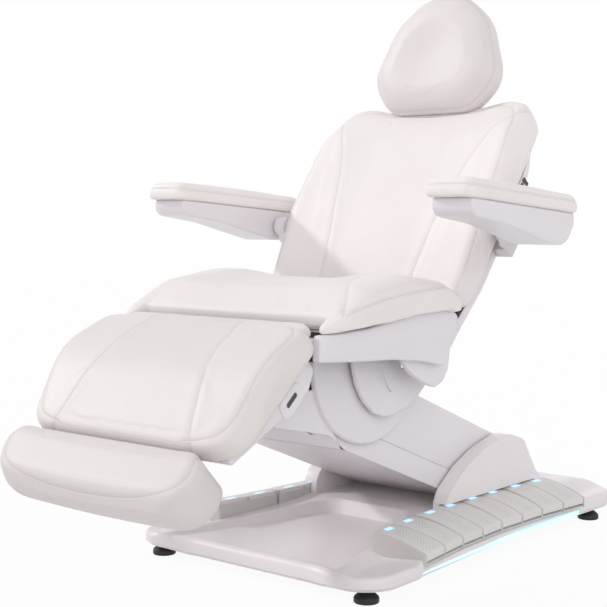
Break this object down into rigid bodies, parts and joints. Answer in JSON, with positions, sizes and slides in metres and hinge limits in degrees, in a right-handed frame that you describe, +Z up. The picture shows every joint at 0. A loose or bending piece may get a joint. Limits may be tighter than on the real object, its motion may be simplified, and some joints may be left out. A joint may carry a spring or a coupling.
{
  "type": "electric facial bed",
  "caption": "Reclining treatment chair on a low base: boom lift, tilting seat, reclining back, folding armrests, swinging leg rest with pull-out foot pad, foot keys along both base sides.",
  "frame": {"origin": "on the floor under the middle of the bed", "axes": "+Z up, +Y towards the head end, +X towards the left hand of a sitting person"},
  "size_m": [0.8768, 1.4594, 1.2566],
  "materials": {
    "base_plastic": "light warm grey, satin gloss moulding",
    "chassis": "black powder coat",
    "foot_rubber": "matt black",
    "light_strip": "lit cyan-white diffuser",
    "control_plastic": "black textured",
    "key_plastic": "pale grey, dimpled top",
    "key_housing": "pale grey",
    "white_plastic": "white gloss moulding",
    "bright_steel": "zinc plated",
    "motor_plastic": "dark grey housing",
    "rod_steel": "polished rod",
    "upholstery": "warm off-white leatherette, perforated middle panels",
    "dark_trim": "dark grey"
  },
  "bodies": {
    "base": {"base_cover": "base_plastic", "base_frame": "chassis", "levelling_feet": "foot_rubber", "led_strips": "light_strip", "control_box": "control_plastic", "key_housings": "key_housing"},
    "boom": {"boom_arm": "chassis", "boom_cover_lower": "white_plastic", "boom_cover_upper": "white_plastic", "boom_shafts": "bright_steel"},
    "lift_motor": {"lift_motor": "motor_plastic"},
    "lift_rod": {"lift_rod": "rod_steel"},
    "levelling_rods": {"levelling_rods": "bright_steel"},
    "carrier": {"carrier_frame": "chassis", "carrier_cover": "white_plastic"},
    "tilt_motor": {"tilt_motor": "motor_plastic"},
    "tilt_rod": {"tilt_rod": "rod_steel"},
    "seat": {"seat_frame": "chassis", "seat_pins": "bright_steel", "seat_shells": "white_plastic", "seat_cushion": "upholstery", "tilt_covers": "white_plastic"},
    "back": {"back_frame": "chassis", "back_shell": "white_plastic", "back_cushion": "upholstery", "back_vents": "dark_trim"},
    "back_motor": {"back_motor": "motor_plastic"},
    "back_rod": {"back_rod": "rod_steel"},
    "armrest_hubs": {"armrest_hubs": "white_plastic"},
    "armrest_left": {"armrest_shell_left": "white_plastic", "armrest_pad_left": "upholstery"},
    "armrest_right": {"armrest_shell_right": "white_plastic", "armrest_pad_right": "upholstery"},
    "headrest_posts": {"headrest_posts": "rod_steel"},
    "headrest": {"headrest_board": "dark_trim", "headrest_cushion": "upholstery"},
    "leg": {"leg_frame": "chassis", "leg_shell": "white_plastic", "leg_grips": "dark_trim", "leg_cushion": "upholstery"},
    "leg_motor": {"leg_motor": "motor_plastic"},
    "leg_rod": {"leg_rod": "rod_steel"},
    "foot": {"foot_slide": "bright_steel", "foot_cushion": "upholstery"},
    "key_left_1": {"key_left_1": "key_plastic"},
    "key_left_2": {"key_left_2": "key_plastic"},
    "key_left_3": {"key_left_3": "key_plastic"},
    "key_left_4": {"key_left_4": "key_plastic"},
    "key_left_5": {"key_left_5": "key_plastic"},
    "key_left_6": {"key_left_6": "key_plastic"},
    "key_left_7": {"key_left_7": "key_plastic"},
    "key_left_8": {"key_left_8": "key_plastic"},
    "key_right_1": {"key_right_1": "key_plastic"},
    "key_right_2": {"key_right_2": "key_plastic"},
    "key_right_3": {"key_right_3": "key_plastic"},
    "key_right_4": {"key_right_4": "key_plastic"},
    "key_right_5": {"key_right_5": "key_plastic"},
    "key_right_6": {"key_right_6": "key_plastic"},
    "key_right_7": {"key_right_7": "key_plastic"},
    "key_right_8": {"key_right_8": "key_plastic"}
  },
  "joints": [
    {"name": "lift", "type": "hinge", "parent": "base", "child": "boom", "pos_m": [0, 0.395, 0.134], "axis": [-1, 0, 0], "range_deg": [0, 34]},
    {"name": "carrier_level", "type": "hinge", "parent": "boom", "child": "carrier", "pos_m": [0, -0.13424, 0.34568], "axis": [-1, 0, 0], "range_deg": [-34, 0]},
    {"name": "levelling_swing", "type": "hinge", "parent": "base", "child": "levelling_rods", "pos_m": [0, 0.395, 0.179], "axis": [-1, 0, 0], "range_deg": [0, 34]},
    {"name": "lift_motor_swing", "type": "hinge", "parent": "boom", "child": "lift_motor", "pos_m": [0, -0.02746, 0.30297], "axis": [1, 0, 0], "range_deg": [-0.0057, 0.6137]},
    {"name": "lift_rod_slide", "type": "slide", "parent": "lift_motor", "child": "lift_rod", "axis": [0, 0.8553, -0.5181], "range_m": [-0.0001, 0.04464]},
    {"name": "tilt", "type": "hinge", "parent": "carrier", "child": "seat", "pos_m": [0, -0.085, 0.44], "axis": [-1, 0, 0], "range_deg": [0, 12]},
    {"name": "tilt_motor_swing", "type": "hinge", "parent": "carrier", "child": "tilt_motor", "pos_m": [0, -0.262, 0.352], "axis": [1, 0, 0], "range_deg": [-7.42, 0.01]},
    {"name": "tilt_rod_slide", "type": "slide", "parent": "tilt_motor", "child": "tilt_rod", "axis": [0, -0.2137, 0.9769], "range_m": [-0.0001, 0.04043]},
    {"name": "recline", "type": "hinge", "parent": "seat", "child": "back", "pos_m": [0, 0.06, 0.535], "axis": [-1, 0, 0], "range_deg": [-10, 51]},
    {"name": "back_motor_swing", "type": "hinge", "parent": "seat", "child": "back_motor", "pos_m": [0, -0.29, 0.46], "axis": [1, 0, 0], "range_deg": [-0.154, 0.7621]},
    {"name": "back_rod_slide", "type": "slide", "parent": "back_motor", "child": "back_rod", "axis": [0, 0.9995, 0.0304], "range_m": [-0.05885, 0.01162]},
    {"name": "armrest_level", "type": "hinge", "parent": "back", "child": "armrest_hubs", "pos_m": [0, 0.19, 0.712], "axis": [-1, 0, 0], "range_deg": [-51, 10]},
    {"name": "armrest_left_lift", "type": "hinge", "parent": "armrest_hubs", "child": "armrest_left", "pos_m": [0, 0.19, 0.712], "axis": [-1, 0, 0], "range_deg": [0, 95]},
    {"name": "armrest_right_lift", "type": "hinge", "parent": "armrest_hubs", "child": "armrest_right", "pos_m": [0, 0.19, 0.712], "axis": [-1, 0, 0], "range_deg": [0, 95]},
    {"name": "headrest_slide", "type": "slide", "parent": "back", "child": "headrest_posts", "axis": [0, 0.6293, 0.7771], "range_m": [0, 0.08]},
    {"name": "headrest_tilt", "type": "hinge", "parent": "headrest_posts", "child": "headrest", "pos_m": [0, 0.44487, 0.99625], "axis": [-1, 0, 0], "range_deg": [0, 28]},
    {"name": "leg_swing", "type": "hinge", "parent": "seat", "child": "leg", "pos_m": [0, -0.37, 0.5], "axis": [-1, 0, 0], "range_deg": [-28, 41]},
    {"name": "leg_motor_swing", "type": "hinge", "parent": "seat", "child": "leg_motor", "pos_m": [0, -0.07, 0.448], "axis": [1, 0, 0], "range_deg": [-0.2056, 0.1422]},
    {"name": "leg_rod_slide", "type": "slide", "parent": "leg_motor", "child": "leg_rod", "axis": [0, -0.9997, -0.026], "range_m": [-0.02869, 0.04197]},
    {"name": "foot_pull", "type": "slide", "parent": "leg", "child": "foot", "axis": [0, -0.7547, -0.6561], "range_m": [0, 0.09]},
    {"name": "key_left_1_press", "type": "hinge", "parent": "base", "child": "key_left_1", "pos_m": [0.2192, -0.10562, 0.0948], "axis": [-0.1296, 0.9916, 0], "range_deg": [0, 3], "stiffness_Nm_per_rad": 16, "springref_deg": -1.15},
    {"name": "key_right_1_press", "type": "hinge", "parent": "base", "child": "key_right_1", "pos_m": [-0.2192, -0.10562, 0.0948], "axis": [-0.1296, -0.9916, 0], "range_deg": [0, 3], "stiffness_Nm_per_rad": 16, "springref_deg": -1.15},
    {"name": "key_left_2_press", "type": "hinge", "parent": "base", "child": "key_left_2", "pos_m": [0.20838, -0.02282, 0.0948], "axis": [-0.1296, 0.9916, 0], "range_deg": [0, 3], "stiffness_Nm_per_rad": 16, "springref_deg": -1.15},
    {"name": "key_right_2_press", "type": "hinge", "parent": "base", "child": "key_right_2", "pos_m": [-0.20838, -0.02282, 0.0948], "axis": [-0.1296, -0.9916, 0], "range_deg": [0, 3], "stiffness_Nm_per_rad": 16, "springref_deg": -1.15},
    {"name": "key_left_3_press", "type": "hinge", "parent": "base", "child": "key_left_3", "pos_m": [0.19981, 0.06968, 0.0948], "axis": [-0.0548, 0.9985, 0], "range_deg": [0, 3], "stiffness_Nm_per_rad": 16, "springref_deg": -1.15},
    {"name": "key_right_3_press", "type": "hinge", "parent": "base", "child": "key_right_3", "pos_m": [-0.19981, 0.06968, 0.0948], "axis": [-0.0548, -0.9985, 0], "range_deg": [0, 3], "stiffness_Nm_per_rad": 16, "springref_deg": -1.15},
    {"name": "key_left_4_press", "type": "hinge", "parent": "base", "child": "key_left_4", "pos_m": [0.19524, 0.15306, 0.0948], "axis": [-0.0548, 0.9985, 0], "range_deg": [0, 3], "stiffness_Nm_per_rad": 16, "springref_deg": -1.15},
    {"name": "key_right_4_press", "type": "hinge", "parent": "base", "child": "key_right_4", "pos_m": [-0.19524, 0.15306, 0.0948], "axis": [-0.0548, -0.9985, 0], "range_deg": [0, 3], "stiffness_Nm_per_rad": 16, "springref_deg": -1.15},
    {"name": "key_left_5_press", "type": "hinge", "parent": "base", "child": "key_left_5", "pos_m": [0.19364, 0.24522, 0.0948], "axis": [0.02, 0.9998, 0], "range_deg": [0, 3], "stiffness_Nm_per_rad": 16, "springref_deg": -1.15},
    {"name": "key_right_5_press", "type": "hinge", "parent": "base", "child": "key_right_5", "pos_m": [-0.19364, 0.24522, 0.0948], "axis": [0.02, -0.9998, 0], "range_deg": [0, 3], "stiffness_Nm_per_rad": 16, "springref_deg": -1.15},
    {"name": "key_left_6_press", "type": "hinge", "parent": "base", "child": "key_left_6", "pos_m": [0.19531, 0.3287, 0.0948], "axis": [0.02, 0.9998, 0], "range_deg": [0, 3], "stiffness_Nm_per_rad": 16, "springref_deg": -1.15},
    {"name": "key_right_6_press", "type": "hinge", "parent": "base", "child": "key_right_6", "pos_m": [-0.19531, 0.3287, 0.0948], "axis": [0.02, -0.9998, 0], "range_deg": [0, 3], "stiffness_Nm_per_rad": 16, "springref_deg": -1.15},
    {"name": "key_left_7_press", "type": "hinge", "parent": "base", "child": "key_left_7", "pos_m": [0.20061, 0.42099, 0.0948], "axis": [0.0948, 0.9955, 0], "range_deg": [0, 3], "stiffness_Nm_per_rad": 16, "springref_deg": -1.15},
    {"name": "key_right_7_press", "type": "hinge", "parent": "base", "child": "key_right_7", "pos_m": [-0.20061, 0.42099, 0.0948], "axis": [0.0948, -0.9955, 0], "range_deg": [0, 3], "stiffness_Nm_per_rad": 16, "springref_deg": -1.15},
    {"name": "key_left_8_press", "type": "hinge", "parent": "base", "child": "key_left_8", "pos_m": [0.20853, 0.50411, 0.0948], "axis": [0.0948, 0.9955, 0], "range_deg": [0, 3], "stiffness_Nm_per_rad": 16, "springref_deg": -1.15},
    {"name": "key_right_8_press", "type": "hinge", "parent": "base", "child": "key_right_8", "pos_m": [-0.20853, 0.50411, 0.0948], "axis": [0.0948, -0.9955, 0], "range_deg": [0, 3], "stiffness_Nm_per_rad": 16, "springref_deg": -1.15}
  ],
  "couplings": [
    {"joint": "carrier_level", "follows": "lift", "ratio": -1},
    {"joint": "levelling_swing", "follows": "lift", "ratio": 1},
    {"joint": "lift_motor_swing", "follows": "lift", "ratio": 0.01753},
    {"joint": "lift_rod_slide", "follows": "lift", "m_per_rad": 0.073581},
    {"joint": "tilt_motor_swing", "follows": "tilt", "ratio": -0.60596},
    {"joint": "tilt_rod_slide", "follows": "tilt", "m_per_rad": 0.18877},
    {"joint": "back_motor_swing", "follows": "recline", "ratio": 0.01454},
    {"joint": "back_rod_slide", "follows": "recline", "m_per_rad": -0.064709},
    {"joint": "armrest_level", "follows": "recline", "ratio": -1},
    {"joint": "leg_motor_swing", "follows": "leg_swing", "ratio": -0.00478},
    {"joint": "leg_rod_slide", "follows": "leg_swing", "m_per_rad": 0.057365}
  ]
}
